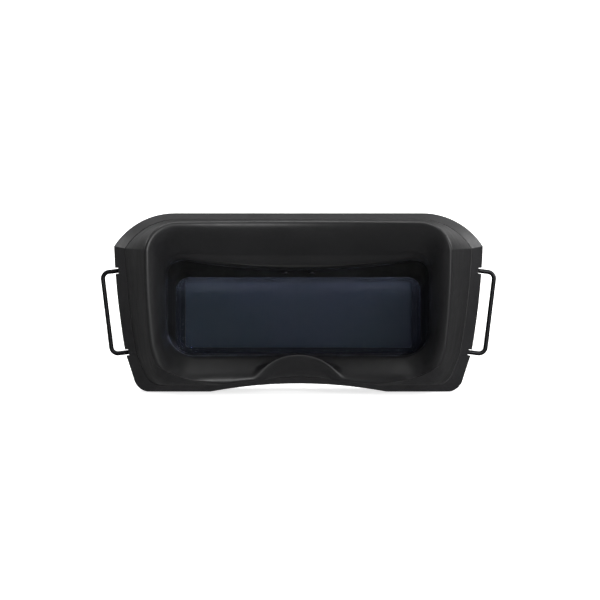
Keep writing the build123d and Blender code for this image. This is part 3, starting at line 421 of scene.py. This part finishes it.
def straight(start, end, count):
    """Points after the start of a line, up to its end."""
    return [lerp(start, end, index / count) for index in range(1, count + 1)]


def closed(half):
    """Full loop from its right half, which starts and ends on the middle plane."""
    return half + [(-x, z) for x, z in reversed(half[1:-1])]


def outline(top, kink, side, low, heel, foot, arch):
    """Loop in X and Z, clockwise from the middle of the top as seen from the face."""
    peak = (0.0, foot[1] + arch[1])
    spring = (arch[0], foot[1])
    nose = circle_centre(spring, peak, (-arch[0], foot[1]))
    middle = circle_centre(kink, side, low)
    half = [(0.0, top[1])]
    half += straight((0.0, top[1]), top, SPLITS[0])
    half += arc(level_centre(top, kink), top, kink, SPLITS[1])
    half += arc(middle, kink, low, SPLITS[2])
    half += straight(low, heel, SPLITS[3])
    half += arc(level_centre(foot, heel), heel, foot, SPLITS[4])
    half += straight(foot, spring, SPLITS[5])
    half += arc(nose, spring, peak, SPLITS[6])
    bend_at = SPLITS[0] + SPLITS[1]
    after = lerp(half[bend_at], half[bend_at + 1], 0.12)
    before = lerp(half[bend_at - 1], half[bend_at], 0.75)
    return closed(half[:bend_at] + [before, half[bend_at], after] + half[bend_at + 1:])


def seam_outline(inset):
    """Where the frame meets the housing."""
    side = HALF_WIDTH - 6.5 - inset
    low = 3.6 + inset
    return outline(
        (side - 26.6, TOP - 3.5 - inset),
        (side, TOP - 18.4 - 0.4 * inset),
        (side - 2.1, 46.0),
        (side - 6.0, 19.5),
        (side - 10.1, 7.0 + 0.6 * low),
        (side - 18.7, low),
        (46.0, 4.1),
    )


def rim_outline(inset):
    """What the frame tapers to at the temples."""
    return outline(
        (58.0, 84.8 - inset),
        (74.0 - inset, 71.2 - 0.3 * inset),
        (73.4 - inset, 50.0),
        (71.0 - inset, 25.0),
        (67.0 - inset, 11.5 + 0.3 * inset),
        (57.0 - 0.4 * inset, 5.4 + inset),
        (30.0, 1.0),
    )


def rounded_window(half_width, low, high, upper, lower):
    """Dense loop of a window with its own radius for the upper and lower corners."""
    corners = (
        ((half_width - upper, high - upper), upper, 90),
        ((half_width - lower, low + lower), lower, 0),
    )
    half = [(0.0, high)]
    for centre, radius, start in corners:
        for step in range(25):
            angle = math.radians(start - 90 * step / 24)
            half.append((centre[0] + radius * math.cos(angle), centre[1] + radius * math.sin(angle)))
    half.append((0.0, low))
    return closed(half)


def in_step(window, guide):
    """Points of the window, one for each point of the guide loop, in matching directions."""
    def bearings(loop):
        low, high = min(p[1] for p in loop), max(p[1] for p in loop)
        wide = max(p[0] for p in loop)
        return [math.atan2(p[0] / wide, (2 * p[1] - low - high) / (high - low)) % (2 * math.pi) for p in loop]

    known = bearings(window)
    made = []
    for bearing in bearings(guide):
        for index in range(len(window)):
            start = known[index]
            end = known[(index + 1) % len(window)] or 2 * math.pi
            if index + 1 == len(window):
                end = 2 * math.pi
            if start <= bearing <= end:
                share = (bearing - start) / max(end - start, 1e-9)
                made.append(lerp(window[index], window[(index + 1) % len(window)], share))
                break
    return made


def on_cylinder(point, radius):
    """Point of X and Z set back onto an upright cylinder round the wearer."""
    x, z = point
    return x, FACE_AXIS_Y + math.sqrt(radius * radius - x * x), z


def crest_point(seam, rim):
    """Where the tapered side wall meets the face cylinder."""
    dx = rim[0] - seam[0]
    depth, run = SEAM_Y - FACE_AXIS_Y, RIM_Y - SEAM_Y
    a = dx * dx + run * run
    b = 2 * (seam[0] * dx + depth * run)
    c = seam[0] ** 2 + depth ** 2 - FACE_RADIUS ** 2
    share = (-b - math.sqrt(b * b - 4 * a * c)) / (2 * a)
    x, z = lerp(seam, rim, share)
    return x, SEAM_Y + run * share, z


def nose_height(x, y, wall):
    """Height of the nose scoop at a place, with a share of the wall that stands over it."""
    depth = SEAM_Y - y
    (d1, r1, z1), (d2, r2, z2), (d3, r3, z3) = NOSE_SECTIONS
    if depth > d2:
        share = (depth - d2) / (d1 - d2)
        radius, centre = r2 + (r1 - r2) * share, z2 + (z1 - z2) * share
    else:
        share = (depth - d3) / (d2 - d3)
        radius, centre = r3 + (r2 - r3) * share, z3 + (z2 - z3) * share
    top = centre + radius + NOSE_RISE * wall
    radius += NOSE_WALL * wall
    return top - radius + math.sqrt(max(radius * radius - x * x, 0.0))


def soft_max(first, second, blend):
    """The larger of two values, with a smooth change from one to the other."""
    near = max(blend - abs(first - second), 0.0) / blend
    return max(first, second) + near * near * blend / 4


def bend(start, corner, end, count):
    """Points of a smooth curve from start to end that is pulled towards the corner."""
    points = []
    for index in range(count + 1):
        share = index / count
        points.append(lerp(lerp(start, corner, share), lerp(corner, end, share), share))
    return points


def towards(start, end, distance, most=0.5):
    """Point at a distance from start on the way to end, no further than a share of the way."""
    return lerp(start, end, min(distance / math.dist(start, end), most))


def frame_section(seam, edge, crest, inner, lip, sleeve, sleeve_back):
    """Section of the frame from the seam over the rim, down the funnel and into the tunnel."""
    start = (seam[0], SEAM_Y - 0.1, seam[1])
    shoulder = (edge[0], SEAM_Y - 0.8, edge[1])
    face = on_cylinder(inner, FACE_RADIUS + 0.3)
    mouth = on_cylinder(lip, LIP_RADIUS)
    crest_in, crest_out = towards(crest, shoulder, 2.6), towards(crest, face, 9.0)
    face_in, face_out = crest_out, towards(face, mouth, 5.0)
    mouth_in, mouth_out = towards(mouth, face, 2.2), towards(mouth, sleeve, 1.4)
    wall = [(start, 0.0), (lerp(start, shoulder, 0.6), 0.0), (shoulder, 0.0)]
    wall += [(towards(shoulder, crest_in, 0.5), 0.0)]
    wall += [(lerp(shoulder, crest_in, step / 6), 0.0) for step in range(1, 6)]
    top = [(point, 0.5 * step / 7) for step, point in enumerate(bend(crest_in, crest, crest_out, 7))]
    over = bend(face_in, face, face_out, 7)[1:]
    top += [(point, 0.5 + 0.5 * (step + 1) / 7) for step, point in enumerate(over)]
    funnel = [(lerp(face_out, mouth_in, step / 6), 1.0) for step in range(1, 6)]
    round_lip = [(point, 1.0) for point in bend(mouth_in, mouth, mouth_out, 6)]
    knee = (sleeve[0], mouth_out[1] + 0.35 * (sleeve[1] - mouth_out[1]), sleeve[2])
    cove = [(point, 1.0) for point in bend(mouth_out, lerp(mouth_out, knee, 0.9), sleeve, 6)[1:]]
    back = [(sleeve_back, 0.0), ((edge[0] * 0.97, SEAM_Y - 0.1, 46 + (edge[1] - 46) * 0.95), 0.0)]
    points = []
    for (x, y, z), share in wall + top + funnel + round_lip + cove:
        if z < 40:
            z = soft_max(z, nose_height(x, y, share), NOSE_BLEND)
        points.append((x, y, z))
    return points + [point for point, share in back]


def sleeve_point(opening, aperture, y, outset):
    """Point on the tunnel wall at depth y, moved out from the middle by a small amount."""
    share = min(max((y - (SEAM_Y - 20.0)) / 29.0, 0.0), 1.0)
    x, z = lerp(opening, aperture, share)
    length = math.hypot(x, z - 42)
    return x + outset * x / length, y, z + outset * (z - 42) / length


def face_frame():
    """Concave face frame with a rounded rim, a funnel and the nose scoop."""
    seam, edge = seam_outline(SEAM_INSET), seam_outline(EDGE_INSET)
    rim, inner = rim_outline(0.0), rim_outline(RIM_INSET)
    opening = in_step(rounded_window(*TUNNEL_MOUTH), inner)
    aperture = in_step(rounded_window(*TUNNEL_END), inner)
    sections = []
    for index in range(len(seam)):
        lip_y = on_cylinder(opening[index], LIP_RADIUS)[1]
        sleeve = sleeve_point(opening[index], aperture[index], lip_y + SLEEVE_REACH, SLEEVE_OUTSET)
        behind = sleeve_point(opening[index], aperture[index], lip_y + BEHIND_REACH, BEHIND_OUTSET)
        crest = crest_point(edge[index], rim[index])
        sections.append(frame_section(seam[index], edge[index], crest, inner[index],
                                      opening[index], sleeve, behind))
    rows, columns = len(sections), len(sections[0])
    points = [Vector(point) * MM for section in sections for point in section]
    faces = []
    for row in range(rows):
        after = (row + 1) % rows
        for column in range(columns):
            beside = (column + 1) % columns
            faces.append((row * columns + column, after * columns + column,
                          after * columns + beside, row * columns + beside))
    made = mesh_object("face_frame_sculpt", points, faces)
    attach(made, "housing")
    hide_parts("face_frame")
    paint(made, "frame_plastic")


face_frame()
add_camera()
add_stage()
